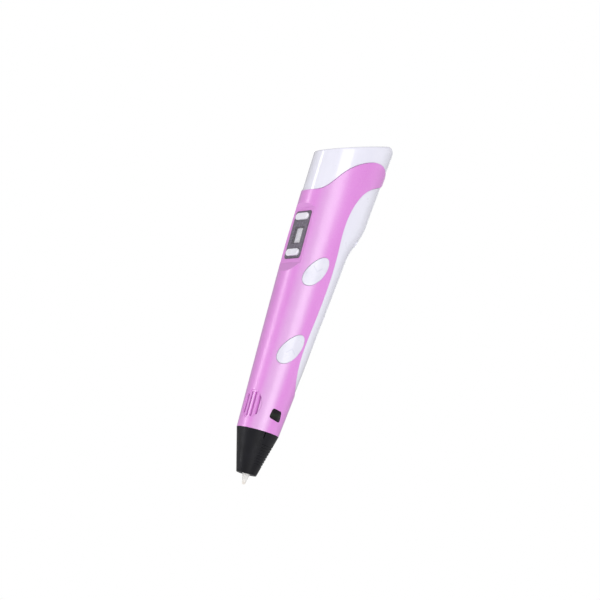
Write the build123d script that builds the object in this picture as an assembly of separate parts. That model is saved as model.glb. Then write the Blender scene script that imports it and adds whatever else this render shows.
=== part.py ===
"""A 3-D printing pen: a moulded two-shell body with keys, display, feeder, hot end and power socket.

Millimetres.  The origin is the nozzle's outlet and +Z runs up the filament path to the tail.
-X is the display side, +X the flared back, -Y the side with the two oval keys and +Y the slider side.
"""

import math
import os

from build123d import *

# ---------------------------------------------------------------- body shape
NOSE_Z = 26.0  # where the body starts above the nozzle's outlet
NOSE_RADIUS = 10.45  # the body's lower end is nearly round
TAIL_Z = 174.2  # height of the sloping tail face on the filament axis
TAIL_SLOPE = 23.5  # degrees, rising towards the back
TAIL_CORNER = 7.0  # rounding of the back top corner in the side view
TAIL_RIM = 1.1  # rounding of the tail's rim
BODY_HALF_WIDTH = 15.4  # at the widest, near the tail
BACK_TAPER = 0.12  # how far the back runs out per millimetre of height
HUMP = 4.3  # extra depth of the back round the feeder
HUMP_Z = 121.0  # where the hump starts
HUMP_RISE = 18.0  # how much height it takes
LEAN_Z = 120.0  # above this the front leans back a little
LEAN = 1.7  # how far it leans at the tail
WALL = 2.0  # from the body's outer surface to the cavity
FLOOR = 2.0  # thickness across the body's lower end
REAR_STEP = 0.45  # the rear shell sits this far below the front shell's surface
SEAM_GAP = 0.12  # open line between the two shells
STATION_STEP = 8.0  # spacing of the outlines that the body is drawn through
TOP_Z = 194.0  # where the outlines end, above the tail face
OUTLINE_POINTS = 28  # points that each outline is drawn through
OUTLINE_FULLNESS = 0.12  # how far the outline near the tail is fuller than an ellipse
FULLNESS_RISE = 120.0  # height over which it fills out
WIDEST_Z = 150.0

# ---------------------------------------------------------------- hot end and nozzle cover
FILAMENT_BORE = 1.1  # radius that passes 1.75 mm filament
OUTLET_RADIUS = 0.35
NOZZLE_TIP_RADIUS = 0.65
NOZZLE_NECK_RADIUS = 1.85
NOZZLE_RADIUS = 2.6
NOZZLE_LENGTH = 13.0
COVER_Z = 5.0  # the cover's open end
COVER_END_RADIUS = 4.9
COVER_RIM_RADIUS = 10.4
COVER_WALL = 1.6
NECK_RADIUS = 7.4  # spigot of the front shell that the cover grips
NECK_LENGTH = 5.0
NECK_WALL = 1.3
RUNNING = 0.05  # radial clearance of pieces that slide or turn in each other
COVER_SLITS = 4
SLIT_WIDTH = 0.6
SLIT_LENGTH = 3.3
SLIT_DEPTH = 1.7
SLIT_ANGLE = -102.0  # degrees from +X of the first slit
GROOVES = 8
GROOVE_PITCH = 1.35
GROOVE_WIDTH = 0.55
GROOVE_DEPTH = 0.3
GROOVE_Z = 10.2
BARREL_RADIUS = 2.0
BARREL_TOP = 56.0
HEATER_RADIUS = 3.0
HEATER_Z = (14.5, 34.0)
INSULATION_RADIUS = 4.0
HOLDER_Z = (40.0, 45.0)
HOLDER_RADIUS = 7.6
THERMISTOR_RADIUS = 0.7

# ---------------------------------------------------------------- display side
DISPLAY_FLAT_X = -7.6  # plane of the recess that holds the display
DISPLAY_FLAT_Z = (110.4, 139.2)
DISPLAY_RUNOUT = (5.6, 2.2)  # length of the sloping ends of the recess, low and high
DISPLAY_PAD = 1.6  # wall thickness behind the flat
BEZEL_WIDTH = 13.0
BEZEL_Z = (112.6, 137.6)
BEZEL_CORNER = 1.5
BEZEL_PROUD = 0.25
BEZEL_FLANGE = 1.0  # thickness of the rim behind the wall
BEZEL_FLANGE_REACH = 0.6  # how far it reaches past the opening
FIT = 0.15  # gap round trim that is dropped into an opening
WINDOW_WIDTH = 6.5
WINDOW_Z = (120.6, 129.0)
WINDOW_THICK = 1.0
PILL_LENGTH = 10.2  # across the pen
PILL_HEIGHT = 3.6
PILL_Z = {"temp_up_key": 134.6, "temp_down_key": 115.6}
PILL_PROUD = 0.95
PILL_FLANGE = 0.6
PILL_FLANGE_REACH = 0.7
DOME_RADIUS = 2.0
DOME_THICK = 0.25
DISPLAY_BOARD_X = (-3.5, -2.6)
DISPLAY_BOARD_Z = (111.8, 138.8)
DISPLAY_BOARD_HALF_WIDTH = 5.6

# ---------------------------------------------------------------- oval keys
OVAL_HALF_LENGTH = 8.6
OVAL_HALF_WIDTH = 4.1
OVAL_TILT = 25.7  # degrees that the oval's top leans towards the back
OVAL_CENTRE = {"feed_key": (-0.5, 107.6), "retract_key": (-1.7, 67.5)}
OVAL_PROUD = 0.3
OVAL_FLANGE = 0.8  # how far the flange reaches past the opening
OVAL_TRAVEL = 0.6
OVAL_FLANGE_THICK = 0.6
OVAL_FLANGE_GAP = 0.25
KEY_POST_RADIUS = 1.6
OPENING_Y = -4.5  # the key and lens openings are cut through the wall to here
SWITCH_SIDE = 3.6
SWITCH_HEIGHT = 1.8
PLUNGER_RADIUS = 1.0
PLUNGER_STAND = 1.0
KEY_BOARD_Y = (-5.6, -4.6)
KEY_BOARD_Z = (57.0, 110.9)
BOARD_THICK = 1.0

# ---------------------------------------------------------------- indicator and vent
INDICATOR = ((-2.2, 37.9), (3.1, 37.3), (4.0, 31.8), (-2.9, 32.9))  # x, z of its corners
INDICATOR_CORNER = 1.2
INDICATOR_BACK_Y = -8.3
LED_RADIUS = 1.5
VENT_Z = 37.5
VENT_HALF_HEIGHT = 6.3
VENT_HALF_WIDTH = 5.15
VENT_CENTRE_Y = -2.9
VENT_PITCH = 2.25
VENT_SLOTS = 4
VENT_SLOT_WIDTH = 1.1
VENT_FRAME = 0.8  # the sunk oval round the slots reaches this far past their ends
VENT_SUNK = 0.35
VENT_CUT_X = -4.0

# ---------------------------------------------------------------- speed slider
SLIDER_Z = 108.0
SLIDER_FLAT_Y = 13.3
SLIDER_FLAT = (8.8, 27.0)
SLIDER_PAD = 1.7
SLIDER_TRAVEL = 6.0
SLIDER_CAP = (7.0, 9.0)  # x and z size
SLIDER_CAP_TOP_Y = 15.7
SLIDER_STEM = (2.4, 4.0)
SLIDER_RIBS = 5
POT_Y = (6.8, 9.6)
POT_SIZE = (7.0, 26.0)

# ---------------------------------------------------------------- feeder
DRIVE_Z = 157.0
HOB_RADIUS = 2.6
HOB_BITE = 0.12  # how deep the hob's teeth press into the filament
HOB_WIDTH = 4.0
HOB_TEETH = 22
FILAMENT_RADIUS = 0.875
SHAFT_RADIUS = 1.5
GEARBOX_LENGTH = 9.0
MOTOR_LENGTH = 11.0
MOTOR_WIDTH = 10.0  # along Y
MOTOR_HEIGHT = 12.0  # along Z
PLATE = 0.8
GEAR_MODULE = 0.15
PRESSURE_ANGLE = math.radians(25)
BACKLASH = 0.04  # taken off each tooth at the pitch circle
WHEEL_TEETH = 30
PINION_TEETH = 12
GEAR_FACE = 1.1
GEAR_GAP = 0.2  # end float between neighbouring gears
GEAR_PIN_RADIUS = 0.4
ARMATURE_RADIUS = 3.4
ROTOR_RADIUS = 0.5  # the motor's own shaft
GEARBOX_POST_RADIUS = 0.6
MOTOR_CORNER = 2.0
END_CAP = 1.0
BEARING_RADIUS = 2.5
BEARING_BORE = 1.0
BEARING_WIDTH = 2.3
LEVER_HALF_WIDTH = 2.2
LEVER_PLATE = 0.85
LEVER_PIVOT = (-4.4, 148.2)  # y, z
LEVER_TOP_Z = 167.0
PIVOT_RADIUS = 0.8
SPRING_Z = 164.6
SPRING_RADIUS = 1.4
SPRING_WIRE = 0.4
SPRING_TURNS = 7
BLOCK_X = 3.4  # half depth of the feeder block, whose back carries the gearbox
BLOCK_Y = (-2.3, 7.6)
BLOCK_Z = (146.0, 168.0)
TUBE_RADIUS = 2.0
TUBE_SEAT = 3.0

# ---------------------------------------------------------------- tail, boards and screws
BUSH_RADIUS = 3.2
BUSH_BORE = 1.5
BUSH_FUNNEL = 0.8  # depth and width of its flared mouth
BUSH_SINK = 2.0  # its top lies this far below the tail face on the filament axis
BUSH_LENGTH = 4.0
BUSH_FLANGE = 1.0  # the flange's thickness and reach
JACK_X = 20.0
JACK_BARREL = 4.2
JACK_BORE = 2.85
JACK_BORE_DEPTH = 9.5
JACK_PIN_RADIUS = 1.0
JACK_LENGTH = 14.0
MAIN_BOARD_X = (6.0, 7.2)
MAIN_BOARD_HALF_WIDTH = 5.5
MAIN_BOARD_Z = (60.0, 140.0)
SCREW_RADIUS = 1.0
SCREW_HEAD_RADIUS = 1.9
SCREW_HEAD = 1.4
SCREW_PLACES = ((88.0, 8.3), (130.0, 9.3))  # z and distance each side of the middle
BOSS_RADIUS = 2.1
POST_RADIUS = 2.7
BOSS_TOP_X = 2.0
SCREW_SEAT_X = 8.0
SCREW_LENGTH = 12.0
REACH = 60.0  # longer than any wall that a cutter passes through

slope = math.tan(math.radians(TAIL_SLOPE))
shaft_y = FILAMENT_RADIUS + HOB_RADIUS - HOB_BITE
bearing_y = -(FILAMENT_RADIUS + BEARING_RADIUS)


# ---------------------------------------------------------------- small helpers
def block(x, y, z):
    """A box from its (low, high) pairs."""
    size = [pair[1] - pair[0] for pair in (x, y, z)]
    middle = [(pair[0] + pair[1]) / 2 for pair in (x, y, z)]
    return Pos(*middle) * Box(*size)


def rod(radius, low, high, x=0.0, y=0.0):
    """A cylinder along Z."""
    return Pos(x, y, (low + high) / 2) * Cylinder(radius, high - low)


def cross_rod(radius, low, high, y, z):
    """A cylinder along X."""
    return Pos((low + high) / 2, y, z) * Rot(0, 90, 0) * Cylinder(radius, high - low)


def side_rod(radius, low, high, x, z):
    """A cylinder along Y."""
    return Pos(x, (low + high) / 2, z) * Rot(90, 0, 0) * Cylinder(radius, high - low)


def turned(profile):
    """A solid turned about Z from (radius, z) points."""
    outline = Polyline([(r, 0, z) for r, z in profile], close=True)
    return revolve(make_face(outline), Axis.Z)


def side_prism(face, low, high):
    """A face drawn in x and z, pushed from y = low to y = high."""
    return extrude(Plane(origin=(0, low, 0), x_dir=(1, 0, 0), z_dir=(0, -1, 0)) * face, -(high - low))


def front_prism(face, low, high):
    """A face drawn in y and z, pushed from x = low to x = high."""
    return extrude(Plane(origin=(low, 0, 0), x_dir=(0, 1, 0), z_dir=(1, 0, 0)) * face, high - low)


def keep(name, *shapes):
    """Writes one piece, or one group of like pieces, as a node."""
    solids = [solid for shape in shapes for solid in shape.solids()]
    export_step(solids[0] if len(solids) == 1 else Compound(solids), f"parts/{name}.step")


# ---------------------------------------------------------------- body surfaces
def ramp(t):
    """Rises smoothly from 0 to 1."""
    t = min(max(t, 0.0), 1.0)
    return t * t * (3 - 2 * t)


def front_x(z):
    return -NOSE_RADIUS + LEAN * (max(0.0, z - LEAN_Z) / (TAIL_Z + 10 - LEAN_Z)) ** 1.5


def back_x(z):
    return NOSE_RADIUS + BACK_TAPER * (z - NOSE_Z) + HUMP * ramp((z - HUMP_Z) / HUMP_RISE)


def half_width(z):
    share = max(0.0, WIDEST_Z - z) / (WIDEST_Z - NOSE_Z)
    return BODY_HALF_WIDTH - (BODY_HALF_WIDTH - NOSE_RADIUS) * share ** 1.8


def section(z, inset):
    """The body's outline at one height, drawn in by inset."""
    front, back, wide = front_x(z) + inset, back_x(z) - inset, half_width(z) - inset
    middle, deep = (front + back) / 2, (back - front) / 2
    exponent = 2 / (2 + OUTLINE_FULLNESS * ramp((z - NOSE_Z) / FULLNESS_RISE))
    points = []
    for step in range(OUTLINE_POINTS):
        turn = 2 * math.pi * step / OUTLINE_POINTS
        across, along = math.cos(turn), math.sin(turn)
        x = middle + deep * math.copysign(abs(across) ** exponent, across)
        y = wide * math.copysign(abs(along) ** exponent, along)
        points.append(Vector(x, y, z))
    return Wire([Edge.make_spline(points, periodic=True)])


def hull(inset):
    """The body's whole envelope, drawn in by inset and not yet cut at the tail."""
    count = round((TOP_Z - NOSE_Z) / STATION_STEP)
    return Solid.make_loft([section(NOSE_Z + STATION_STEP * index, inset) for index in range(count + 1)])


def under_tail(inset):
    """Everything below the tail face, with its rounded back corner."""
    corner_x = back_x(TAIL_Z) - inset
    drop = inset / math.cos(math.radians(TAIL_SLOPE))
    corner = (corner_x, TAIL_Z + corner_x * slope - drop)
    front = (-REACH, TAIL_Z - REACH * slope - drop)
    face = make_face(Polyline([front, corner, (corner_x, 0), (-REACH, 0)], close=True))
    face = fillet(face.vertices().sort_by_distance(Vector(*corner))[0], TAIL_CORNER - inset)
    return side_prism(face, -REACH, REACH)


def rear_region(gap):
    """Side view of what the rear shell covers, grown by gap."""
    seam = [
        (20.0, 46.0), (9.5, 48.3), (5.7, 57.0), (4.9, 66.0), (6.3, 82.0), (8.1, 100.0), (8.4, 119.0),
        (7.8, 131.0), (9.9, 145.0), (15.0, 154.8), (24.0, 161.4), (28.6, 165.2), (28.2, 169.2),
        (24.3, 171.9), (18.3, 172.2), (9.5, 168.6), (2.0, 162.4), (-3.1, 154.9), (-7.2, 149.4), (-15.0, 149.0),
    ]
    moved = []
    for here, ahead, behind in zip(seam, seam[1:] + seam[-1:], seam[:1] + seam[:-1]):
        run, rise = ahead[0] - behind[0], ahead[1] - behind[1]
        length = math.hypot(run, rise)
        moved.append((here[0] - gap * rise / length, here[1] + gap * run / length))
    edge = Spline(*moved)
    rest = Polyline(moved[-1], (-REACH, moved[-1][1]), (-REACH, 220), (REACH, 220), (REACH, moved[0][1]), moved[0])
    return side_prism(make_face([edge, rest]), -REACH, REACH)


# ---------------------------------------------------------------- shells
def oval(grow=0.0):
    """The oval keys' outline."""
    return Rot(0, 0, 90 - OVAL_TILT) * Ellipse(OVAL_HALF_LENGTH + grow, OVAL_HALF_WIDTH + grow)


def pill(grow=0.0):
    """The display keys' outline, long across the pen."""
    return SlotOverall(PILL_LENGTH + 2 * grow, PILL_HEIGHT + 2 * grow)


def rounded(width, z_range, corner, grow=0.0):
    """A rounded rectangle about y = 0, drawn in y and z."""
    low, high = z_range[0] - grow, z_range[1] + grow
    return Pos(0, (low + high) / 2) * RectangleRounded(width + 2 * grow, high - low, corner + grow)


def indicator(grow=0.0):
    face = make_face(Polyline(INDICATOR, close=True))
    face = fillet(face.vertices(), INDICATOR_CORNER)
    return offset(face, grow) if grow else face


def slider_flat(grow=0.0):
    return Pos(0, SLIDER_Z) * RectangleRounded(SLIDER_FLAT[0] + 2 * grow, SLIDER_FLAT[1] + 2 * grow, 2.0)


def display_recess():
    """The flat and its two sloping ends."""
    low, high = DISPLAY_FLAT_Z
    depth = DISPLAY_FLAT_X - front_x(low)
    out_x = DISPLAY_FLAT_X - 2 * depth
    low_run, high_run = (2 * run for run in DISPLAY_RUNOUT)
    points = [(DISPLAY_FLAT_X, low), (DISPLAY_FLAT_X, high), (out_x, high + high_run), (out_x, low - low_run)]
    return side_prism(make_face(Polyline(points, close=True)), -REACH, REACH)


def vent_slots():
    cutters = []
    for index in range(VENT_SLOTS):
        off = (index - (VENT_SLOTS - 1) / 2) * VENT_PITCH
        tall = 2 * VENT_HALF_HEIGHT * math.sqrt(1 - (off / VENT_HALF_WIDTH) ** 2)
        slot = Pos(VENT_CENTRE_Y + off, VENT_Z) * Rot(0, 0, 90) * SlotOverall(tall, VENT_SLOT_WIDTH)
        cutters.append(front_prism(slot, -REACH, VENT_CUT_X))
    return cutters


def vent_frame():
    """The shallow oval that the slots are sunk in."""
    face = Pos(VENT_CENTRE_Y, VENT_Z) * Ellipse(VENT_HALF_WIDTH, VENT_HALF_HEIGHT + VENT_FRAME)
    return front_prism(face, -REACH, VENT_CUT_X) - hull(VENT_SUNK)


def screw_places():
    return [(side * y, z) for z, y in SCREW_PLACES for side in (-1, 1)]


def cavity():
    """The hollow inside both shells, shallower behind the display and the slider."""
    space = (hull(WALL) & under_tail(WALL)) & block((-REACH, REACH), (-REACH, REACH), (NOSE_Z + FLOOR, 220))
    pad_z = (DISPLAY_FLAT_Z[0] - DISPLAY_RUNOUT[0] - WALL, DISPLAY_FLAT_Z[1] + DISPLAY_RUNOUT[1] + WALL)
    space -= block((-REACH, DISPLAY_FLAT_X + DISPLAY_PAD), (-REACH, REACH), pad_z)
    half_x, half_z = SLIDER_FLAT[0] / 2 + WALL, SLIDER_FLAT[1] / 2 + WALL
    inner_y = SLIDER_FLAT_Y - SLIDER_PAD
    space -= block((-half_x, half_x), (inner_y, REACH), (SLIDER_Z - half_z, SLIDER_Z + half_z))
    return space


def front_shell(outer, hollow):
    shell = outer - hollow
    neck_low = NOSE_Z - NECK_LENGTH
    shell += rod(NECK_RADIUS, neck_low, NOSE_Z + FLOOR)
    shell -= rod(NECK_RADIUS - NECK_WALL, neck_low - 1, NOSE_Z + FLOOR + 1)
    shell -= rear_region(SEAM_GAP)
    for y, z in screw_places():
        boss = cross_rod(BOSS_RADIUS, front_x(z), BOSS_TOP_X, y, z) & outer
        shell += boss
    shell -= display_recess()
    for y, z in screw_places():
        shell -= cross_rod(SCREW_RADIUS, SCREW_SEAT_X - SCREW_LENGTH, REACH, y, z)
    bezel_hole = rounded(BEZEL_WIDTH, BEZEL_Z, BEZEL_CORNER, FIT)
    shell -= front_prism(bezel_hole, -REACH, DISPLAY_FLAT_X + DISPLAY_PAD + 1)
    for x, z in OVAL_CENTRE.values():
        shell -= side_prism(Pos(x, z) * oval(FIT), -REACH, OPENING_Y)
    shell -= side_prism(indicator(), -REACH, OPENING_Y)
    shell -= vent_frame()
    shell -= vent_slots()
    shell -= side_prism(slider_flat(), SLIDER_FLAT_Y, REACH)
    slot_length = 2 * SLIDER_TRAVEL + SLIDER_STEM[1] + 4 * FIT
    slot = Pos(0, SLIDER_Z) * Rectangle(SLIDER_STEM[0] + 4 * FIT, slot_length)
    shell -= side_prism(slot, 6.0, REACH)
    return shell


def rear_shell(hollow):
    outer = hull(REAR_STEP) & under_tail(REAR_STEP)
    rim = [e for e in outer.edges() if e.center().Z > TAIL_Z - 5 and e.length > 5]
    outer = fillet(rim, TAIL_RIM)
    shell = (outer - hollow) & rear_region(0.0)
    for y, z in screw_places():
        post = cross_rod(POST_RADIUS, BOSS_TOP_X, REACH, y, z) & outer
        shell += post
    for y, z in screw_places():
        shell -= cross_rod(SCREW_RADIUS + RUNNING * 2, -REACH, REACH, y, z)
        shell -= cross_rod(SCREW_HEAD_RADIUS + FIT, SCREW_SEAT_X, REACH, y, z)
    shell -= rod(BUSH_RADIUS, BLOCK_Z[1], TOP_Z)
    shell -= rod(JACK_BARREL, BLOCK_Z[1], TOP_Z, x=JACK_X)
    return shell


def nozzle_cover():
    """The black cone that snaps on the front shell's neck."""
    neck_low = NOSE_Z - NECK_LENGTH
    bore = NECK_RADIUS + RUNNING
    hole = NOZZLE_RADIUS + 2 * FIT
    profile = [
        (COVER_END_RADIUS, COVER_Z), (COVER_RIM_RADIUS, NOSE_Z - SEAM_GAP), (bore, NOSE_Z - SEAM_GAP),
        (bore, neck_low - FIT), (hole + COVER_WALL / 2, COVER_Z + COVER_WALL), (hole, COVER_Z + COVER_WALL),
        (hole, COVER_Z),
    ]
    cover = turned(profile)
    cover = fillet(cover.edges().group_by(Axis.Z)[0].sort_by(SortBy.LENGTH)[-1], COVER_WALL / 3)
    for index in range(COVER_SLITS):
        slit = block((COVER_RIM_RADIUS - SLIT_DEPTH, REACH), (-SLIT_WIDTH / 2, SLIT_WIDTH / 2),
                     (NOSE_Z - SLIT_LENGTH, NOSE_Z + 1))
        cover -= Rot(0, 0, SLIT_ANGLE + 360 / COVER_SLITS * index) * slit
    for index in range(GROOVES):
        low = GROOVE_Z + GROOVE_PITCH * index
        radius = cover_radius(low + GROOVE_WIDTH / 2) - GROOVE_DEPTH
        ring = rod(REACH, low, low + GROOVE_WIDTH) - rod(radius, low, low + GROOVE_WIDTH)
        cover -= ring & block((-COVER_WALL, REACH), (-REACH, REACH), (0, NOSE_Z))
    return cover


def cover_radius(z):
    share = (z - COVER_Z) / (NOSE_Z - COVER_Z)
    return COVER_END_RADIUS + (COVER_RIM_RADIUS - COVER_END_RADIUS) * share


def build_shells():
    outer = hull(0.0) & under_tail(0.0)
    hollow = cavity()
    keep("front_shell", front_shell(outer, hollow))
    keep("rear_shell", rear_shell(hollow))
    keep("nozzle_cover", nozzle_cover())
    screws = []
    for y, z in screw_places():
        screw = cross_rod(SCREW_RADIUS, SCREW_SEAT_X - SCREW_LENGTH, SCREW_SEAT_X, y, z)
        top = SCREW_SEAT_X + SCREW_HEAD
        screw += cross_rod(SCREW_HEAD_RADIUS, SCREW_SEAT_X, top, y, z)
        for across, along in ((1.2, 0.25), (0.25, 1.2)):
            screw -= block((top - SCREW_HEAD / 2, top + 1), (y - across, y + across), (z - along, z + along))
        screws.append(screw)
    keep("shell_screws", *screws)


# ---------------------------------------------------------------- display side
def build_display():
    front = DISPLAY_FLAT_X - BEZEL_PROUD
    wall_back = DISPLAY_FLAT_X + DISPLAY_PAD
    back = wall_back + BEZEL_FLANGE
    board = DISPLAY_BOARD_X[0]
    bezel = front_prism(rounded(BEZEL_WIDTH, BEZEL_Z, BEZEL_CORNER), front, wall_back)
    bezel = chamfer(bezel.faces().sort_by(Axis.X)[0].edges(), BEZEL_PROUD * 0.8)
    bezel += front_prism(rounded(BEZEL_WIDTH, BEZEL_Z, BEZEL_CORNER, BEZEL_FLANGE_REACH), wall_back, back)
    for z in PILL_Z.values():
        bezel -= front_prism(Pos(0, z) * pill(FIT), front - 1, back + 1)
    bezel -= block((front - 1, back + 1), (-WINDOW_WIDTH / 2, WINDOW_WIDTH / 2), WINDOW_Z)
    keep("display_bezel", bezel)

    window_front = front + FIT
    window_back = window_front + WINDOW_THICK
    keep("lcd_window", block((window_front, window_back), (-WINDOW_WIDTH / 2, WINDOW_WIDTH / 2), WINDOW_Z))
    inside = WINDOW_WIDTH / 2 - FIT
    glass = block((window_back, back), (-inside, inside), (WINDOW_Z[0] + FIT, WINDOW_Z[1] - FIT))
    housing = block((back + FIT, board), (-5.4, 5.4), (WINDOW_Z[0] - 1.2, WINDOW_Z[1] + 1.2))
    neck = block((back, back + FIT), (-inside, inside), (WINDOW_Z[0] + FIT, WINDOW_Z[1] - FIT))
    keep("lcd_module", glass + neck + housing)
    half = DISPLAY_BOARD_HALF_WIDTH
    keep("display_board", block(DISPLAY_BOARD_X, (-half, half), DISPLAY_BOARD_Z))

    domes = []
    for name, z in PILL_Z.items():
        flange_front = back + FIT
        key = front_prism(Pos(0, z) * pill(), front - PILL_PROUD, flange_front)
        key = fillet(key.faces().sort_by(Axis.X)[0].edges(), PILL_PROUD / 2)
        key += front_prism(Pos(0, z) * pill(PILL_FLANGE_REACH), flange_front, flange_front + PILL_FLANGE)
        keep(name, key)
        domes.append(cross_rod(DOME_RADIUS, board - DOME_THICK, board, 0, z))
    keep("key_domes", *domes)


# ---------------------------------------------------------------- oval keys
def build_oval_keys():
    board_y = KEY_BOARD_Y[0]
    switch_y = board_y - SWITCH_HEIGHT
    plunger_y = switch_y - PLUNGER_STAND
    under_inset = WALL + OVAL_FLANGE_GAP
    proud, under, inner = hull(-OVAL_PROUD), hull(under_inset), hull(under_inset + OVAL_FLANGE_THICK)
    pad_clear = block((DISPLAY_FLAT_X + DISPLAY_PAD + FIT, REACH), (-REACH, 0), (0, TOP_Z))
    switches = []
    for name, (x, z) in OVAL_CENTRE.items():
        cap = side_prism(Pos(x, z) * oval(), -REACH, plunger_y + 8) & proud
        flange = side_prism(Pos(x, z) * oval(OVAL_FLANGE + FIT), -REACH, plunger_y + 8) & under & pad_clear
        key = (cap + flange) - inner
        key += side_rod(KEY_POST_RADIUS, -REACH, plunger_y, x, z) & under
        keep(name, key)
        seat = switch_y + PLUNGER_STAND
        keep(name.replace("_key", "_plunger"), side_rod(PLUNGER_RADIUS, plunger_y, seat, x, z))
        half = SWITCH_SIDE / 2
        switch = block((x - half, x + half), (switch_y, board_y), (z - half, z + half))
        switch -= side_rod(PLUNGER_RADIUS + RUNNING, switch_y - 1, seat + OVAL_TRAVEL + FIT, x, z)
        switches.append(switch)
    keep("key_switches", *switches)
    keep("key_board", block((-4.2, 5.0), KEY_BOARD_Y, KEY_BOARD_Z))


def build_indicator():
    lens = side_prism(indicator(), -REACH, INDICATOR_BACK_Y) & hull(FIT)
    keep("indicator_lens", lens)
    x = sum(corner[0] for corner in INDICATOR) / 4
    z = sum(corner[1] for corner in INDICATOR) / 4
    keep("indicator_led", side_rod(LED_RADIUS, INDICATOR_BACK_Y, -INSULATION_RADIUS - 1.2, x, z))


# ---------------------------------------------------------------- speed slider
def build_slider():
    wide, tall = SLIDER_CAP
    low = SLIDER_FLAT_Y + FIT
    cap = block((-wide / 2, wide / 2), (low, SLIDER_CAP_TOP_Y), (SLIDER_Z - tall / 2, SLIDER_Z + tall / 2))
    cap = fillet(cap.faces().sort_by(Axis.Y)[-1].edges(), 0.4)
    for index in range(SLIDER_RIBS):
        z = SLIDER_Z + (index - (SLIDER_RIBS - 1) / 2) * tall / (SLIDER_RIBS + 1)
        cap -= block((-wide, wide), (SLIDER_CAP_TOP_Y - 0.5, REACH), (z - 0.35, z + 0.35))
    stem_x, stem_z = SLIDER_STEM[0] / 2, SLIDER_STEM[1] / 2
    stem_low = POT_Y[1] - 1.2
    cap += block((-stem_x, stem_x), (stem_low, low), (SLIDER_Z - stem_z, SLIDER_Z + stem_z))
    keep("speed_slider", cap)
    half_x, half_z = POT_SIZE[0] / 2, POT_SIZE[1] / 2
    pot = block((-half_x, half_x), POT_Y, (SLIDER_Z - half_z, SLIDER_Z + half_z))
    reach_z = SLIDER_TRAVEL + stem_z + 2 * FIT
    pot -= block((-stem_x - FIT, stem_x + FIT), (stem_low - FIT, POT_Y[1] + 1),
                 (SLIDER_Z - reach_z, SLIDER_Z + reach_z))
    keep("slide_pot", pot)
    board_y = (POT_Y[0] - BOARD_THICK, POT_Y[0])
    keep("slider_board", block((-2.4, 4.5), board_y, (SLIDER_Z - half_z - 2, SLIDER_Z + half_z + 2)))


# ---------------------------------------------------------------- feeder
def involute(angle):
    return math.tan(angle) - angle


def tooth_outline(teeth, phase):
    """A spur gear's outline in y and z with 25 degree involute flanks; phase points one tooth."""
    pitch = GEAR_MODULE * teeth / 2
    base = pitch * math.cos(PRESSURE_ANGLE)
    outer, root = pitch + 0.9 * GEAR_MODULE, pitch - 1.2 * GEAR_MODULE
    half_tooth = (math.pi * GEAR_MODULE / 2 - BACKLASH) / (2 * pitch) + involute(PRESSURE_ANGLE)
    flank = []
    for radius in (max(root, base), pitch, (pitch + outer) / 2, outer):
        flank.append((radius, half_tooth - involute(math.acos(min(1.0, base / radius)))))
    if base > root:
        flank.insert(0, (root, flank[0][1]))
    points = []
    for index in range(teeth):
        middle = math.radians(phase) + 2 * math.pi * index / teeth
        rising = [(radius, middle - half) for radius, half in flank]
        falling = [(radius, middle + half) for radius, half in reversed(flank)]
        points += [(radius * math.cos(turn), radius * math.sin(turn)) for radius, turn in rising + falling]
    return make_face(Polyline(points, close=True))


def gear(teeth, low, high, y, z, phase):
    return front_prism(Pos(y, z) * tooth_outline(teeth, phase), low, high)


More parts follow.
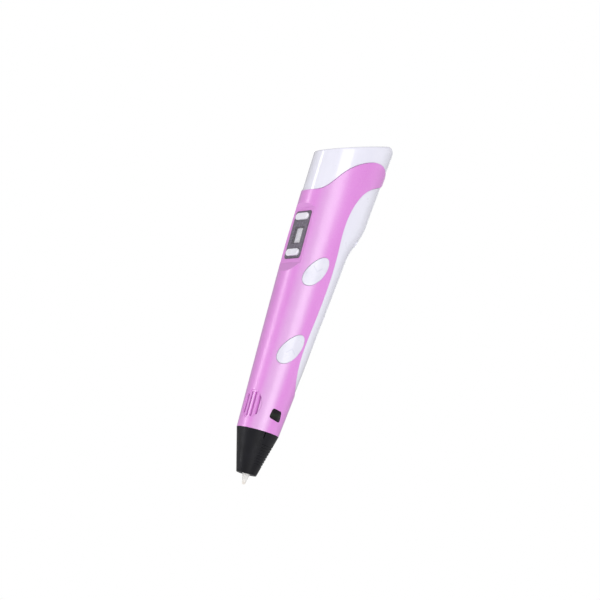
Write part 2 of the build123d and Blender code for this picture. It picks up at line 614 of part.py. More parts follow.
def build_gearmotor():
    y, z = shaft_y, DRIVE_Z
    side_z = z + GEAR_MODULE * (WHEEL_TEETH + PINION_TEETH) / 2
    half_y, half_z = MOTOR_WIDTH / 2, MOTOR_HEIGHT / 2
    low = BLOCK_X
    high = low + GEARBOX_LENGTH
    inner_high = high - PLATE
    span = (y - half_y, y + half_y), (z - half_z, z + half_z)
    frame = block((low, low + PLATE), *span) + block((inner_high, high), *span)
    for side_y in (-1, 1):
        for side_up in (-1, 1):
            frame += cross_rod(GEARBOX_POST_RADIUS, low, high, y + side_y * (half_y - 1), z + side_up * (half_z - 1))
    frame -= cross_rod(SHAFT_RADIUS + RUNNING, low - 1, low + PLATE, y, z)
    frame -= cross_rod(ROTOR_RADIUS + RUNNING, inner_high, high, y, z)
    frame -= cross_rod(GEAR_PIN_RADIUS, low, high, y, side_z)
    keep("gearbox_frame", frame)
    keep("gear_pin", cross_rod(GEAR_PIN_RADIUS, low, high, y, side_z))

    # four meshes between the motor's pinion and the output wheel, on two axes by turns
    step = GEAR_FACE + GEAR_GAP
    mesh_x = [inner_high - GEAR_GAP - GEAR_FACE - step * index for index in range(4)]
    main_phase, wheel_phase, pinion_phase = 90, -90 + 180 / WHEEL_TEETH, -90 + 180 / PINION_TEETH
    rotor = gear(PINION_TEETH, mesh_x[0], mesh_x[0] + GEAR_FACE, y, z, main_phase)
    rotor += cross_rod(ROTOR_RADIUS, mesh_x[0], high + MOTOR_LENGTH - END_CAP / 2, y, z)
    rotor += cross_rod(ARMATURE_RADIUS, high + 1.6, high + MOTOR_LENGTH - 2.2, y, z)
    keep("motor_rotor", rotor)
    for index, name in enumerate(("gear_first", "gear_second", "gear_third")):
        wheel_x, pinion_x = mesh_x[index], mesh_x[index + 1]
        on_side = index % 2 == 0
        gear_z = side_z if on_side else z
        phases = (wheel_phase, pinion_phase) if on_side else (main_phase, main_phase)
        pair = gear(WHEEL_TEETH, wheel_x, wheel_x + GEAR_FACE, y, gear_z, phases[0])
        pair += gear(PINION_TEETH, pinion_x, wheel_x, y, gear_z, phases[1])
        pair -= cross_rod(GEAR_PIN_RADIUS + RUNNING, low, high, y, gear_z)
        keep(name, pair)
    shaft = cross_rod(SHAFT_RADIUS, -BLOCK_X, mesh_x[3], y, z)
    shaft += gear(WHEEL_TEETH, mesh_x[3], mesh_x[3] + GEAR_FACE, y, z, main_phase)
    shaft += cross_rod(GEAR_PIN_RADIUS, mesh_x[3], mesh_x[0] - GEAR_GAP / 2, y, z)
    keep("output_shaft", shaft)
    hob = cross_rod(HOB_RADIUS, -HOB_WIDTH / 2, HOB_WIDTH / 2, y, z)
    for index in range(HOB_TEETH):
        notch = Pos(0, HOB_RADIUS + 0.2, 0) * Rot(45, 0, 0) * Box(HOB_WIDTH + 1, 0.6, 0.6)
        hob -= Pos(0, y, z) * Rot(360 / HOB_TEETH * (index + 0.5), 0, 0) * notch
    hob -= cross_rod(SHAFT_RADIUS, -REACH, REACH, y, z)
    keep("drive_gear", hob)

    can_end = high + MOTOR_LENGTH - END_CAP
    can = block((high, can_end), *span)
    can = fillet(can.edges().filter_by(Axis.X), MOTOR_CORNER)
    can -= cross_rod(ARMATURE_RADIUS + 0.4, high + PLATE, can_end + 1, y, z)
    can -= cross_rod(ROTOR_RADIUS + RUNNING, high - 1, high + PLATE, y, z)
    keep("motor_can", can)
    cap = block((can_end, can_end + END_CAP), *span)
    cap = fillet(cap.edges().filter_by(Axis.X), MOTOR_CORNER)
    cap -= cross_rod(ROTOR_RADIUS + RUNNING, can_end - 1, can_end + 0.6 * END_CAP, y, z)
    keep("motor_end_cap", cap)


def build_feeder():
    y, z = shaft_y, DRIVE_Z
    feeder = block((-BLOCK_X, BLOCK_X), BLOCK_Y, BLOCK_Z)
    feeder -= block((-REACH, REACH), (BLOCK_Y[0] - 1, BLOCK_Y[1] - 1.4), (z - 4, z + 4))
    pivot_y, pivot_z = LEVER_PIVOT
    ear_in = LEVER_HALF_WIDTH + 0.4
    for low, high in ((-BLOCK_X, -ear_in), (ear_in, BLOCK_X)):
        feeder += block((low, high), (pivot_y - 2, BLOCK_Y[0]), (BLOCK_Z[0], pivot_z + 2))
    feeder -= rod(FILAMENT_BORE + 0.1, 0, TOP_Z)
    feeder -= rod(TUBE_RADIUS + RUNNING, 0, BLOCK_Z[0] + TUBE_SEAT)
    feeder -= cross_rod(PIVOT_RADIUS, -REACH, REACH, pivot_y, pivot_z)
    keep("feeder_block", feeder)
    keep("lever_pin", cross_rod(PIVOT_RADIUS, -BLOCK_X, BLOCK_X, pivot_y, pivot_z))

    cheek = BEARING_WIDTH / 2 + RUNNING * 2
    web_y = bearing_y - BEARING_RADIUS - 2 * FIT
    reach_y = BLOCK_Y[0] - 2 * FIT
    lever = block((-LEVER_HALF_WIDTH, LEVER_HALF_WIDTH), (web_y - LEVER_PLATE, web_y), (pivot_z - 1.6, LEVER_TOP_Z))
    for low, high in ((-LEVER_HALF_WIDTH, -cheek), (cheek, LEVER_HALF_WIDTH)):
        lever += block((low, high), (web_y, reach_y), (pivot_z - 1.6, z + BEARING_RADIUS))
    lever -= cross_rod(PIVOT_RADIUS + RUNNING, -REACH, REACH, pivot_y, pivot_z)
    axle_radius = BEARING_BORE - RUNNING
    lever -= cross_rod(axle_radius, -REACH, REACH, bearing_y, z)
    keep("idler_lever", lever)
    keep("idler_axle", cross_rod(axle_radius, -LEVER_HALF_WIDTH, LEVER_HALF_WIDTH, bearing_y, z))
    bearing = cross_rod(BEARING_RADIUS, -BEARING_WIDTH / 2, BEARING_WIDTH / 2, bearing_y, z)
    bearing -= cross_rod(BEARING_BORE, -REACH, REACH, bearing_y, z)
    keep("idler_bearing", bearing)
    length = BLOCK_Y[0] - web_y - SPRING_WIRE
    path = Helix(length / SPRING_TURNS, length, SPRING_RADIUS)
    wire = sweep(Plane(path @ 0, z_dir=path % 0) * Circle(SPRING_WIRE / 2), path=path, is_frenet=True)
    keep("idler_spring", Pos(0, web_y + SPRING_WIRE / 2, SPRING_Z) * Rot(-90, 0, 0) * wire)

    tube = rod(TUBE_RADIUS, BARREL_TOP, BLOCK_Z[0] + TUBE_SEAT) - rod(FILAMENT_BORE, 0, TOP_Z)
    keep("guide_tube", tube)


# ---------------------------------------------------------------- hot end
def build_hot_end():
    top = NOZZLE_LENGTH
    nozzle = turned([
        (OUTLET_RADIUS, 0), (NOZZLE_TIP_RADIUS, 0), (NOZZLE_NECK_RADIUS, COVER_Z), (NOZZLE_RADIUS, COVER_Z + 2),
        (NOZZLE_RADIUS, top), (FILAMENT_BORE, top), (FILAMENT_BORE, 3.0), (OUTLET_RADIUS, 1.4),
    ])
    nozzle = fillet(nozzle.edges().group_by(Axis.Z)[0].sort_by(SortBy.LENGTH)[-1], 0.2)
    keep("ceramic_nozzle", nozzle)
    bore = rod(FILAMENT_BORE, 0, TOP_Z)
    keep("heater_barrel", rod(BARREL_RADIUS, top, BARREL_TOP) - bore)
    barrel = rod(BARREL_RADIUS, top, BARREL_TOP)
    keep("heater_sleeve", rod(HEATER_RADIUS, *HEATER_Z) - barrel)
    keep("insulation_sleeve", rod(INSULATION_RADIUS, *HEATER_Z) - rod(HEATER_RADIUS, 0, TOP_Z))
    sensor_x = INSULATION_RADIUS + THERMISTOR_RADIUS
    lead_z = HEATER_Z[0] + 7
    keep("thermistor", rod(THERMISTOR_RADIUS, HEATER_Z[0] + 4, lead_z, x=sensor_x))
    holder = rod(HOLDER_RADIUS, *HOLDER_Z) - barrel
    holder -= block((sensor_x - 1.1, REACH), (-1.6, 1.6), (0, TOP_Z))
    keep("hot_end_holder", holder)
    leads = [rod(0.3, lead_z, MAIN_BOARD_Z[0] + 2, x=sensor_x, y=side * 0.4) for side in (-1, 1)]
    keep("sensor_leads", *leads)
    coupler = rod(HEATER_RADIUS, BARREL_TOP - 4, BARREL_TOP + 4) - rod(BARREL_RADIUS, 0, TOP_Z)
    keep("tube_coupler", coupler)


# ---------------------------------------------------------------- tail and main board
def build_tail():
    top = TAIL_Z - BUSH_SINK
    low = top - BUSH_LENGTH
    bush = rod(BUSH_RADIUS, low, top) + rod(BUSH_RADIUS + BUSH_FLANGE, low, low + BUSH_FLANGE)
    bush = chamfer(bush.faces().sort_by(Axis.Z)[-1].edges(), 0.2)
    bush -= rod(BUSH_BORE, 0, TOP_Z)
    bush -= Pos(0, 0, top - BUSH_FUNNEL / 2) * Cone(BUSH_BORE, BUSH_BORE + BUSH_FUNNEL, BUSH_FUNNEL)
    keep("filament_bush", bush)

    shoulder = TAIL_Z + 3.0
    mouth = TAIL_Z + JACK_X * slope
    jack = block((JACK_X - 4.5, JACK_X + 4.5), (-4.5, 4.5), (shoulder - JACK_LENGTH + 4.5, shoulder))
    jack += rod(JACK_BARREL, shoulder, TOP_Z, x=JACK_X)
    jack = jack & under_tail(REAR_STEP + FIT)
    floor = mouth - JACK_BORE_DEPTH
    jack -= rod(JACK_BORE, floor, TOP_Z, x=JACK_X)
    jack -= rod(JACK_PIN_RADIUS, floor - 1.2, TOP_Z, x=JACK_X)
    keep("dc_jack", jack)
    keep("dc_jack_pin", rod(JACK_PIN_RADIUS, floor - 1.2, mouth - 1.6, x=JACK_X))


def build_main_board():
    low, face = MAIN_BOARD_X
    half = MAIN_BOARD_HALF_WIDTH
    keep("main_board", block((low, face), (-half, half), MAIN_BOARD_Z))
    chips = []
    for wide, tall, z in ((7.0, 7.0, 100.0), (5.0, 4.0, 120.0), (4.0, 4.6, 74.0)):
        chips.append(block((face, face + BOARD_THICK), (-wide / 2, wide / 2), (z - tall / 2, z + tall / 2)))
    keep("board_chips", *chips)
    keep("board_capacitor", cross_rod(2.5, face, face + 6.0, 0, MAIN_BOARD_Z[1] - 5.0))


os.makedirs("parts", exist_ok=True)
build_shells()
build_display()
build_oval_keys()
build_indicator()
build_slider()
build_gearmotor()
build_feeder()
build_hot_end()
build_tail()
build_main_board()
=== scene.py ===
# A 3-D printing pen in a white studio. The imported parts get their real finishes, then come
# the floor, the lights and the camera.

import math

import bpy
from mathutils import Matrix, Vector

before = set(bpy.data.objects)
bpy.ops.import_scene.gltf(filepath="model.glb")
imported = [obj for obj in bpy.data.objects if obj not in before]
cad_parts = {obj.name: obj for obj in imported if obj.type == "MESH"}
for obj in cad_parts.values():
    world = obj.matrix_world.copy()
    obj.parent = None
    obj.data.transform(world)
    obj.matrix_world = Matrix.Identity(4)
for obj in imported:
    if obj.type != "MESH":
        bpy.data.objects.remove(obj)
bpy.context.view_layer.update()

MM = 0.001  # metres in a millimetre
WHITE = (1.0, 1.0, 1.0, 1.0)

# a mix of two colours: its kind, its sockets for the second's share and for both, and its result
COLOUR = {"data_type": "RGBA"}
SHARE, FIRST, SECOND, MIXED = 0, 6, 7, 2

NOISE_SPAN = (0.3, 0.7)  # nearly all of a noise pattern lies between these
EDGE_COSINES = (0.86, 0.995)  # a rounded normal against the face's own: on an edge, on an open face


def linear(hex_colour):
    """An sRGB hex colour as linear RGBA."""
    channels = [int(hex_colour[index:index + 2], 16) / 255 for index in (1, 3, 5)]
    curve = [c / 12.92 if c <= 0.04045 else ((c + 0.055) / 1.055) ** 2.4 for c in channels]
    return (*curve, 1.0)


class Finish:
    """A material while it is being made, around one surface shader."""

    def __init__(self, name, **surface):
        self.material = bpy.data.materials.new(name)
        self.material.use_nodes = True
        self.tree = self.material.node_tree
        self.shader = self.tree.nodes["Principled BSDF"]
        for socket, value in surface.items():
            self.shader.inputs[socket.replace("_", " ")].default_value = value

    def add(self, kind, settings=None, sockets=None):
        """Adds a node with its settings; a socket takes a value or another node's output."""
        node = self.tree.nodes.new(kind)
        for name, value in (settings or {}).items():
            setattr(node, name, value)
        for socket, value in (sockets or {}).items():
            if isinstance(value, bpy.types.NodeSocket):
                self.tree.links.new(value, node.inputs[socket])
            else:
                node.inputs[socket].default_value = value
        return node

    def wear(self, **sockets):
        """Joins finished patterns to the surface's own sockets."""
        for socket, source in sockets.items():
            self.tree.links.new(source, self.shader.inputs[socket.replace("_", " ")])
        return self.material

    def patches(self, size_mm, low=0.0, high=1.0, detail=3.0, stretch=(1.0, 1.0, 1.0)):
        """An uneven value from low to high, in soft patches about size_mm across."""
        place = self.add("ShaderNodeTexCoord").outputs["Object"]
        drawn = self.add("ShaderNodeMapping", None, {"Vector": place, "Scale": stretch})
        clouds = {"Vector": drawn.outputs[0], "Scale": 1 / (size_mm * MM), "Detail": detail}
        pattern = self.add("ShaderNodeTexNoise", None, clouds).outputs["Fac"]
        span = {"Value": pattern, "From Min": NOISE_SPAN[0], "From Max": NOISE_SPAN[1]}
        span.update({"To Min": low, "To Max": high})
        return self.add("ShaderNodeMapRange", {"clamp": False}, span).outputs[0]

    def edges(self, width_mm, strength):
        """Up to strength along edges, and 0 on open faces, from how far a rounded normal turns."""
        rounded = self.add("ShaderNodeBevel", {"samples": 4}, {"Radius": width_mm * MM}).outputs[0]
        flat = self.add("ShaderNodeNewGeometry").outputs["Normal"]
        turned = self.add("ShaderNodeVectorMath", {"operation": "DOT_PRODUCT"}, {0: rounded, 1: flat})
        span = {"Value": turned.outputs["Value"], "From Min": EDGE_COSINES[0], "From Max": EDGE_COSINES[1]}
        span.update({"To Min": strength, "To Max": 0.0})
        return self.add("ShaderNodeMapRange", None, span).outputs[0]

    def relief(self, height, depth_mm, strength, edge_mm):
        """Raised and sunk grain over edges that are softened by edge_mm."""
        softened = self.add("ShaderNodeBevel", {"samples": 6}, {"Radius": edge_mm * MM}).outputs[0]
        bump = {"Height": height, "Normal": softened, "Strength": strength, "Distance": depth_mm * MM}
        return self.add("ShaderNodeBump", None, bump).outputs["Normal"]

    def between(self, axis, low_mm, high_mm):
        """0 at low_mm and 1 at high_mm along one of the pen's axes."""
        place = self.add("ShaderNodeTexCoord").outputs["Object"]
        along = self.add("ShaderNodeSeparateXYZ", None, {"Vector": place}).outputs[axis]
        span = {"Value": along, "From Min": low_mm * MM, "From Max": high_mm * MM}
        return self.add("ShaderNodeMapRange", None, span).outputs[0]


# ---------------------------------------------------------------- plastics
def moulded_plastic(name, hex_colour, shade_hex, roughness, grain_mm=0.35, rub=0.1):
    """Injection-moulded plastic: faint flow clouds, a fine mould texture and edges paled by handling."""
    make = Finish(name, IOR=1.53)
    flow = make.patches(14.0, stretch=(1.0, 1.0, 0.35))
    body = make.add("ShaderNodeMix", COLOUR, {
        SHARE: flow, FIRST: linear(hex_colour), SECOND: linear(shade_hex),
    }).outputs[MIXED]
    colour = make.add("ShaderNodeMix", COLOUR, {
        SHARE: make.edges(width_mm=0.3, strength=rub), FIRST: body, SECOND: WHITE,
    }).outputs[MIXED]
    handling = make.patches(5.0, roughness * 0.85, roughness * 1.2, detail=5.0)
    grain = make.relief(make.patches(grain_mm, detail=1.0), depth_mm=0.01, strength=0.3, edge_mm=0.25)
    return make.wear(Base_Color=colour, Roughness=handling, Normal=grain)


def pearl_pink_abs():
    """Pink ABS with pearl flakes: a painted milky highlight where it faces the eye, then deep pink, and
    painted mauve shade at its sides.
    """
    make = Finish("pearl pink ABS, moulded", IOR=1.54, Specular_IOR_Level=1.0)
    make.shader.inputs["Coat Weight"].default_value = 0.8
    make.shader.inputs["Coat Roughness"].default_value = 0.28
    flow = make.patches(16.0, stretch=(1.0, 1.0, 0.3))
    body = make.add("ShaderNodeMix", COLOUR, {
        SHARE: flow, FIRST: linear("#E284E0"), SECOND: linear("#DD7CDB"),
    }).outputs[MIXED]
    facing = make.add("ShaderNodeLayerWeight", None, {"Blend": 0.35}).outputs["Facing"]
    # painted shade: where the surface turns away from the eye, its pink is mixed towards a darker mauve
    turn = {"Value": facing, "From Min": 0.45, "To Max": 0.5}
    side = make.add("ShaderNodeMapRange", None, turn).outputs[0]
    mauve = make.add("ShaderNodeMix", COLOUR, {
        SHARE: side, FIRST: body, SECOND: linear("#C79AD2"),
    }).outputs[MIXED]
    # painted highlight: where the surface faces the eye, its pink is mixed towards a milky pale pink
    front = {"Value": facing, "From Min": 0.0, "From Max": 0.1, "To Min": 0.65, "To Max": 0.0}
    painted_milky_highlight = make.add("ShaderNodeMapRange", {"interpolation_type": "SMOOTHSTEP"}, front).outputs[0]
    pearl = make.add("ShaderNodeMix", COLOUR, {
        SHARE: painted_milky_highlight, FIRST: mauve, SECOND: linear("#DEB0E2"),
    }).outputs[MIXED]
    # real flakes are hundredths of a millimetre; they are drawn at 0.25 mm so that they show
    flakes = make.patches(0.25, 0.0, 0.12, detail=0.0)
    sparkle = make.add("ShaderNodeMix", COLOUR, {
        SHARE: flakes, FIRST: pearl, SECOND: linear("#FBE4FB"),
    }).outputs[MIXED]
    colour = make.add("ShaderNodeMix", COLOUR, {
        SHARE: make.edges(width_mm=0.3, strength=0.15), FIRST: sparkle, SECOND: linear("#F8DDF8"),
    }).outputs[MIXED]
    grain = make.relief(make.patches(0.3, detail=1.0), depth_mm=0.006, strength=0.25, edge_mm=0.25)
    return make.wear(Base_Color=colour, Roughness=make.patches(4.0, 0.36, 0.45, detail=5.0), Normal=grain)


def gloss_white_abs():
    """White ABS polished in the mould: cool white with clear-edged reflections of the softboxes."""
    make = Finish("white ABS, polished mould", IOR=1.54, Coat_Weight=1.0, Coat_Roughness=0.07)
    flow = make.patches(18.0, stretch=(1.0, 1.0, 0.35))
    body = make.add("ShaderNodeMix", COLOUR, {
        SHARE: flow, FIRST: linear("#EFEEFA"), SECOND: linear("#EAE9F7"),
    }).outputs[MIXED]
    colour = make.add("ShaderNodeMix", COLOUR, {
        SHARE: make.edges(width_mm=0.3, strength=0.1), FIRST: body, SECOND: WHITE,
    }).outputs[MIXED]
    grain = make.relief(make.patches(0.6, detail=2.0), depth_mm=0.004, strength=0.12, edge_mm=0.25)
    return make.wear(Base_Color=colour, Roughness=make.patches(5.0, 0.26, 0.38, detail=5.0), Normal=grain)


def key_abs(name, hex_colour, shade_hex, centre=None, points_up=True):
    """Bright white keys with soft edges, some with a faint grey arrow head printed on them."""
    make = Finish(name, IOR=1.53, Coat_Weight=0.3, Coat_Roughness=0.12)
    flow = make.patches(6.0)
    colour = make.add("ShaderNodeMix", COLOUR, {
        SHARE: flow, FIRST: linear(hex_colour), SECOND: linear(shade_hex),
    }).outputs[MIXED]
    if centre:
        ink = ink_arrow(make, centre, points_up)
        colour = make.add("ShaderNodeMix", COLOUR, {
            SHARE: ink, FIRST: colour, SECOND: linear("#CFCFE0"),
        }).outputs[MIXED]
    grain = make.relief(make.patches(0.3, detail=1.0), depth_mm=0.005, strength=0.2, edge_mm=0.35)
    return make.wear(Base_Color=colour, Roughness=make.patches(3.0, 0.24, 0.36, detail=5.0), Normal=grain)


ARROW_HALF_WIDTH = 2.2  # mm
ARROW_HALF_STROKE = 0.45  # mm
ARROW_INK = 0.45  # how much of the plastic the faint ink hides


def ink_arrow(make, centre, points_up):
    """Part ink inside an arrow head round centre (x, z in millimetres), none outside it."""
    place = make.add("ShaderNodeTexCoord").outputs["Object"]
    axes = make.add("ShaderNodeSeparateXYZ", None, {"Vector": place}).outputs
    middle, height = centre[0] * MM, centre[1] * MM
    across = make.add("ShaderNodeMath", {"operation": "SUBTRACT"}, {0: axes["X"], 1: middle}).outputs[0]
    side = make.add("ShaderNodeMath", {"operation": "ABSOLUTE"}, {0: across}).outputs[0]
    up = make.add("ShaderNodeMath", {"operation": "SUBTRACT"}, {0: axes["Z"], 1: height}).outputs[0]
    slant = 1.0 if points_up else -1.0
    lean = make.add("ShaderNodeMath", {"operation": "MULTIPLY_ADD"}, {0: side, 1: slant, 2: up}).outputs[0]
    off = make.add("ShaderNodeMath", {"operation": "ABSOLUTE"}, {0: lean}).outputs[0]
    under = {"operation": "LESS_THAN"}
    stroke = make.add("ShaderNodeMath", under, {0: off, 1: ARROW_HALF_STROKE * MM}).outputs[0]
    inside = make.add("ShaderNodeMath", under, {0: side, 1: ARROW_HALF_WIDTH * MM}).outputs[0]
    both = make.add("ShaderNodeMath", {"operation": "MULTIPLY"}, {0: stroke, 1: inside}).outputs[0]
    return make.add("ShaderNodeMath", {"operation": "MULTIPLY"}, {0: both, 1: ARROW_INK}).outputs[0]


def grained_black_nylon():
    """Glass-filled nylon, spark-eroded mould: soot black, a coarse grain that breaks up its highlight."""
    make = Finish("black nylon, spark-eroded mould", IOR=1.53, Specular_IOR_Level=0.2)
    flow = make.patches(7.0, detail=5.0)
    body = make.add("ShaderNodeMix", COLOUR, {
        SHARE: flow, FIRST: linear("#0B0B10"), SECOND: linear("#13131A"),
    }).outputs[MIXED]
    colour = make.add("ShaderNodeMix", COLOUR, {
        SHARE: make.edges(width_mm=0.3, strength=0.2), FIRST: body, SECOND: linear("#55555E"),
    }).outputs[MIXED]
    grain = make.relief(make.patches(0.5, detail=2.0), depth_mm=0.03, strength=0.6, edge_mm=0.25)
    return make.wear(Base_Color=colour, Roughness=make.patches(2.5, 0.34, 0.5, detail=6.0), Normal=grain)


def printed_acrylic():
    """Acrylic printed grey on its back: a glassy front and a dark border round every edge."""
    make = Finish("grey acrylic, printed on the back", IOR=1.49, Coat_Weight=0.4, Coat_Roughness=0.08)
    speckle = make.patches(1.0, detail=5.0)
    body = make.add("ShaderNodeMix", COLOUR, {
        SHARE: speckle, FIRST: linear("#736C79"), SECOND: linear("#6A6371"),
    }).outputs[MIXED]
    colour = make.add("ShaderNodeMix", COLOUR, {
        SHARE: make.edges(width_mm=0.8, strength=1.0), FIRST: body, SECOND: linear("#2E2435"),
    }).outputs[MIXED]
    dust = make.relief(make.patches(0.4), depth_mm=0.004, strength=0.15, edge_mm=0.2)
    return make.wear(Base_Color=colour, Roughness=make.patches(1.2, 0.18, 0.34, detail=6.0), Normal=dust)


def clear_acrylic():
    """Clear window: almost unseen, with a thin gloss and a few hairline scratches."""
    make = Finish("clear acrylic, polished", IOR=1.49, Alpha=0.12)
    hairs = make.patches(0.8, detail=6.0, stretch=(1.0, 0.1, 1.0))
    tint = make.add("ShaderNodeMix", COLOUR, {
        SHARE: hairs, FIRST: linear("#F6F5F8"), SECOND: linear("#E8E6EC"),
    }).outputs[MIXED]
    scratches = make.relief(hairs, depth_mm=0.002, strength=0.1, edge_mm=0.1)
    return make.wear(Base_Color=tint, Roughness=make.patches(0.8, 0.03, 0.12), Normal=scratches)


def liquid_crystal_glass():
    """Liquid-crystal glass over its reflector: silvery grey, with painted light making it paler to one
    side, finely speckled.
    """
    make = Finish("liquid-crystal glass over reflector", IOR=1.52)
    speckle = make.patches(0.4)
    ground = make.add("ShaderNodeMix", COLOUR, {
        SHARE: speckle, FIRST: linear("#EAE7F0"), SECOND: linear("#F1EEF7"),
    }).outputs[MIXED]
    # painted light: the glass is mixed paler towards -Y
    pale = make.between("Y", 2.2, -3.0)
    colour = make.add("ShaderNodeMix", COLOUR, {
        SHARE: pale, FIRST: ground, SECOND: linear("#F8F7FA"),
    }).outputs[MIXED]
    film = make.relief(speckle, depth_mm=0.003, strength=0.15, edge_mm=0.1)
    return make.wear(Base_Color=colour, Roughness=make.patches(1.0, 0.25, 0.4), Normal=film)


def smoked_acrylic():
    """Smoked lens: plum black, with a painted green glow of the lamp behind its middle."""
    make = Finish("smoked acrylic, polished", IOR=1.49, Specular_IOR_Level=0.35)
    make.shader.inputs["Coat Weight"].default_value = 0.15
    make.shader.inputs["Coat Roughness"].default_value = 0.06
    # painted glow: a green band across the lens's middle height stands for the light of the lamp behind it
    height = make.between("Z", 31.5, 38.0)
    hill = make.add("ShaderNodeMath", {"operation": "PINGPONG"}, {0: height, 1: 0.5}).outputs[0]
    span = {"Value": hill, "From Min": 0.28, "From Max": 0.5, "To Max": 0.8}
    glow = make.add("ShaderNodeMapRange", None, span).outputs[0]
    colour = make.add("ShaderNodeMix", COLOUR, {
        SHARE: glow, FIRST: linear("#150B18"), SECOND: linear("#1E2A1C"),
    }).outputs[MIXED]
    film = make.relief(make.patches(0.4), depth_mm=0.004, strength=0.2, edge_mm=0.3)
    return make.wear(Base_Color=colour, Roughness=make.patches(1.5, 0.16, 0.28, detail=5.0), Normal=film)


# ---------------------------------------------------------------- ceramics, metals, boards
def sintered_alumina(name, hex_colour, shade_hex, scorch):
    """Alumina: chalky and satin, with a tan bloom near the hot outlet."""
    make = Finish(name, IOR=1.76)
    clouds = make.patches(1.5)
    body = make.add("ShaderNodeMix", COLOUR, {
        SHARE: clouds, FIRST: linear(hex_colour), SECOND: linear(shade_hex),
    }).outputs[MIXED]
    near = make.between("Z", 2.5, 0.0)
    heat = make.add("ShaderNodeMath", {"operation": "MULTIPLY"}, {0: near, 1: scorch}).outputs[0]
    colour = make.add("ShaderNodeMix", COLOUR, {
        SHARE: heat, FIRST: body, SECOND: linear("#CDB48A"),
    }).outputs[MIXED]
    # sintered grains are microns wide; they are drawn at 0.15 mm so that they show
    grain = make.relief(make.patches(0.15, detail=1.0), depth_mm=0.006, strength=0.35, edge_mm=0.15)
    return make.wear(Base_Color=colour, Roughness=make.patches(1.0, 0.34, 0.5), Normal=grain)


def machined_metal(name, hex_colour, roughness):
    """Machined metal: fine tool lines and a slight brown tarnish."""
    make = Finish(name, Metallic=1.0)
    tarnish = make.patches(3.0, 0.0, 0.25, detail=5.0)
    colour = make.add("ShaderNodeMix", COLOUR, {
        SHARE: tarnish, FIRST: linear(hex_colour), SECOND: linear("#6E675C"),
    }).outputs[MIXED]
    # tool lines of about 0.03 mm are drawn at 0.12 mm so that they show
    lines = make.patches(0.12, roughness * 0.75, roughness * 1.3, stretch=(1.0, 1.0, 4.0))
    cut = make.relief(lines, depth_mm=0.004, strength=0.3, edge_mm=0.12)
    return make.wear(Base_Color=colour, Roughness=lines, Normal=cut)


def masked_board():
    """Glass-epoxy board: green solder mask, paler where copper tracks lie under it."""
    make = Finish("glass-epoxy board, solder mask", IOR=1.55, Coat_Weight=0.3, Coat_Roughness=0.15)
    place = make.add("ShaderNodeTexCoord").outputs["Object"]
    tracks = make.add("ShaderNodeTexBrick", {"offset": 0.5}, {
        "Vector": place, "Scale": 1 / (6.0 * MM), "Mortar Size": 0.03,
        "Color1": linear("#0E5A2C"), "Color2": linear("#0F6030"), "Mortar": linear("#2E8A4C"),
    })
    weave = make.patches(0.4, 0.0, 0.3)
    colour = make.add("ShaderNodeMix", COLOUR, {
        SHARE: weave, FIRST: tracks.outputs[0], SECOND: linear("#0A4421"),
    }).outputs[MIXED]
    raised = make.relief(tracks.outputs["Fac"], depth_mm=0.02, strength=0.4, edge_mm=0.1)
    return make.wear(Base_Color=colour, Roughness=make.patches(1.5, 0.28, 0.45), Normal=raised)


def woven_fibreglass():
    """Fibreglass sleeving: tan yarns over and under each other, matt and slightly fuzzy."""
    make = Finish("fibreglass sleeving, woven", IOR=1.5)
    place = make.add("ShaderNodeTexCoord").outputs["Object"]
    yarns = make.add("ShaderNodeTexChecker", None, {
        "Vector": place, "Scale": 1 / (0.8 * MM), "Color1": linear("#E4D8BA"), "Color2": linear("#C4B48E"),
    })
    soil = make.patches(2.0, 0.0, 0.4)
    colour = make.add("ShaderNodeMix", COLOUR, {
        SHARE: soil, FIRST: yarns.outputs[0], SECOND: linear("#B09C70"),
    }).outputs[MIXED]
    raised = make.relief(yarns.outputs["Fac"], depth_mm=0.05, strength=0.6, edge_mm=0.2)
    return make.wear(Base_Color=colour, Roughness=make.patches(0.6, 0.75, 0.95), Normal=raised)


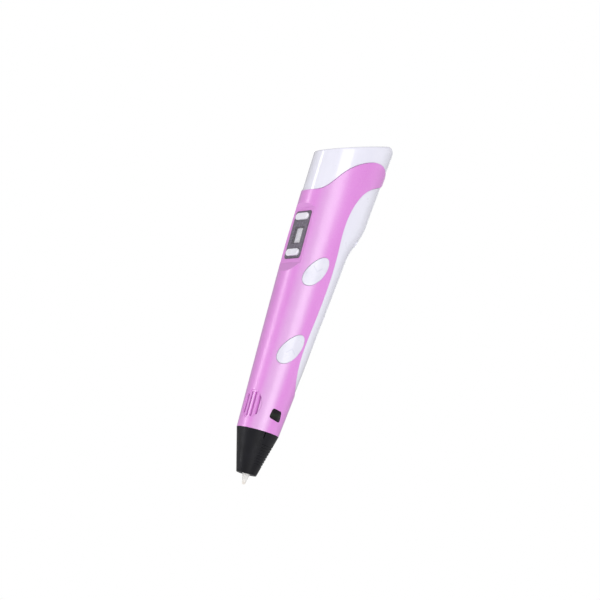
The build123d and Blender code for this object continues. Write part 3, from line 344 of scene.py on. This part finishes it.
def dress_parts():
    """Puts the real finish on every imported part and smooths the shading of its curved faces."""
    # painted light and shade: the keys are one white plastic, but the temperature keys and slider get a
    # paler copy and the feed and retract keys a darker copy, for how the lamps fall on them
    pill_keys_painted_paler = key_abs("white ABS key, moulded", "#F3F1F9", "#ECEAF5")
    feed = key_abs("white ABS feed key, printed", "#E8E7F3", "#E1E0EE", (-0.5, 107.6), False)
    retract = key_abs("white ABS retract key, printed", "#E8E7F3", "#E1E0EE", (-1.7, 67.5), True)
    black = moulded_plastic("black ABS, matt mould", "#1B1B1E", "#232327", 0.5, rub=0.05)
    nylon = moulded_plastic("natural nylon, moulded", "#E6E2D6", "#DAD5C6", 0.45)
    epoxy = moulded_plastic("milky epoxy, cast", "#DDE6D8", "#CFDACB", 0.2, grain_mm=1.0)
    ptfe = moulded_plastic("white PTFE, extruded", "#EDEDEA", "#E2E2DE", 0.4, grain_mm=1.5)
    board = masked_board()
    brass = machined_metal("brass, machined", "#D9B15C", 0.25)
    steel = machined_metal("plated steel, turned", "#C8C6C2", 0.28)
    wearers = (
        (pearl_pink_abs(), "front_shell"),
        (gloss_white_abs(), "rear_shell"),
        (grained_black_nylon(), "nozzle_cover"),
        (sintered_alumina("white alumina, polished", "#F0EEEC", "#E4E2E0", 0.3), "ceramic_nozzle"),
        (sintered_alumina("cream alumina, sintered", "#E3DFD8", "#D8D2C8", 0.0), "heater_sleeve"),
        (printed_acrylic(), "display_bezel"),
        (clear_acrylic(), "lcd_window"),
        (liquid_crystal_glass(), "lcd_module"),
        (smoked_acrylic(), "indicator_lens"),
        (pill_keys_painted_paler, "temp_up_key temp_down_key speed_slider"),
        (feed, "feed_key"),
        (retract, "retract_key"),
        (woven_fibreglass(), "insulation_sleeve"),
        (moulded_plastic("blue PVC sleeve, shrunk", "#232A44", "#1C2238", 0.25), "board_capacitor"),
        (epoxy, "indicator_led thermistor"),
        (ptfe, "guide_tube sensor_leads"),
        (nylon, "hot_end_holder motor_end_cap"),
        (black, "filament_bush dc_jack feeder_block idler_lever board_chips"),
        (black, "key_switches feed_plunger retract_plunger"),
        (board, "main_board key_board display_board slider_board"),
        (brass, "gearbox_frame gear_first gear_second gear_third drive_gear tube_coupler"),
        (steel, "shell_screws key_domes slide_pot gear_pin motor_rotor motor_can output_shaft"),
        (steel, "lever_pin idler_axle idler_bearing idler_spring heater_barrel dc_jack_pin"),
    )
    for material, names in wearers:
        for name in names.split():
            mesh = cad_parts[name].data
            mesh.materials.clear()
            mesh.materials.append(material)
            mesh.polygons.foreach_set("use_smooth", [True] * len(mesh.polygons))


# ---------------------------------------------------------------- studio
CAMERA_AZIMUTH = 34.0  # degrees from straight in front of the oval keys towards the display
CAMERA_ELEVATION = -12.0  # the pen is seen from a little below
CAMERA_ROLL = 15.2  # the pen leans to the right in the view
CAMERA_DISTANCE = 0.7
CAMERA_LENS = 85.3
CAMERA_NEAREST = 0.01  # metres
AIM = Vector((2.26, -2.15, 94.2)) * MM
FLOOR_DROP = 0.3  # metres from the nozzle's outlet down to the floor
FLOOR_RADIUS = 4.4
FLOOR_SIDES = 96
FLOOR_GLOW = (0.2, 0.55)  # the light table's strength towards the pen, and towards the camera
ROOM_GLOW = (0.42, 1.0)  # the same for the white room


def outwards(angle, lift):
    """A unit vector from the pen, angle degrees to the right of the camera and lift degrees up."""
    turn, rise = math.radians(CAMERA_AZIMUTH - angle), math.radians(lift)
    return Vector((-math.sin(turn) * math.cos(rise), -math.cos(turn) * math.cos(rise), math.sin(rise)))


def set_camera():
    out = outwards(0.0, CAMERA_ELEVATION)
    turn, roll = math.radians(CAMERA_AZIMUTH), math.radians(CAMERA_ROLL)
    level = Vector((math.cos(turn), -math.sin(turn), 0.0))
    upright = out.cross(level)
    right = level * math.cos(roll) + upright * math.sin(roll)
    up = upright * math.cos(roll) - level * math.sin(roll)
    data = bpy.data.cameras.new("studio_camera")
    data.lens = CAMERA_LENS
    data.clip_start = CAMERA_NEAREST
    camera = bpy.data.objects.new("studio_camera", data)
    bpy.context.scene.collection.objects.link(camera)
    facing = Matrix((right, up, out)).transposed().to_4x4()
    camera.matrix_world = Matrix.Translation(AIM + out * CAMERA_DISTANCE) @ facing
    bpy.context.scene.camera = camera


def hang_softbox(name, angle, lift, distance, width, height, power):
    """A rectangular softbox that faces the pen."""
    data = bpy.data.lights.new(name, "AREA")
    data.shape = "RECTANGLE"
    data.size, data.size_y, data.energy = width, height, power
    lamp = bpy.data.objects.new(name, data)
    bpy.context.scene.collection.objects.link(lamp)
    out = outwards(angle, lift)
    lamp.location = AIM + out * distance
    lamp.rotation_euler = out.to_track_quat("Z", "Y").to_euler()


def light_studio():
    """Softboxes in front, at both sides, above and behind, in an evenly white room."""
    # name, angle, lift, distance, width and height in metres, watts
    hang_softbox("key_softbox", 17.0, 6.0, 0.9, 0.52, 1.1, 4.4)
    hang_softbox("left_strip", -84.0, 0.0, 0.8, 0.14, 0.9, 2.0)
    hang_softbox("right_softbox", 96.0, 0.0, 0.9, 0.4, 1.0, 0.45)
    hang_softbox("top_softbox", 10.0, 70.0, 0.9, 0.7, 0.7, 1.0)
    hang_softbox("back_softbox", 170.0, 25.0, 1.1, 0.7, 0.7, 1.0)
    world = bpy.data.worlds.new("white_room")
    bpy.context.scene.world = world
    world.use_nodes = True
    tree = world.node_tree
    background = tree.nodes["Background"]
    background.inputs["Color"].default_value = WHITE
    seen = tree.nodes.new("ShaderNodeLightPath")
    level = tree.nodes.new("ShaderNodeMapRange")
    level.inputs["To Min"].default_value = ROOM_GLOW[0]
    level.inputs["To Max"].default_value = ROOM_GLOW[1]
    tree.links.new(seen.outputs["Is Camera Ray"], level.inputs["Value"])
    tree.links.new(level.outputs[0], background.inputs["Strength"])
    bpy.context.scene.view_settings.view_transform = "Standard"


def lay_floor():
    """A plain pale floor well below the pen: matt paper on a table that is lit from beneath."""
    make = Finish("pale paper on a light table, matt", IOR=1.5, Emission_Color=WHITE)
    clouds = make.patches(60.0)
    colour = make.add("ShaderNodeMix", COLOUR, {
        SHARE: clouds, FIRST: linear("#FAFAFA"), SECOND: linear("#F8F8F9"),
    }).outputs[MIXED]
    fibres = make.relief(make.patches(0.8), depth_mm=0.05, strength=0.2, edge_mm=0.5)
    seen = make.add("ShaderNodeLightPath").outputs["Is Camera Ray"]
    span = {"Value": seen, "To Min": FLOOR_GLOW[0], "To Max": FLOOR_GLOW[1]}
    glow = make.add("ShaderNodeMapRange", None, span).outputs[0]
    roughness = make.patches(9.0, 0.85, 0.95)
    make.wear(Base_Color=colour, Roughness=roughness, Normal=fibres, Emission_Strength=glow)
    rim = []
    for step in range(FLOOR_SIDES):
        turn = 2 * math.pi * step / FLOOR_SIDES
        rim.append((FLOOR_RADIUS * math.cos(turn), FLOOR_RADIUS * math.sin(turn), -FLOOR_DROP))
    mesh = bpy.data.meshes.new("studio_floor")
    mesh.from_pydata(rim, [], [tuple(range(FLOOR_SIDES))])
    mesh.materials.append(make.material)
    floor = bpy.data.objects.new("studio_floor", mesh)
    bpy.context.scene.collection.objects.link(floor)


dress_parts()
lay_floor()
light_studio()
set_camera()
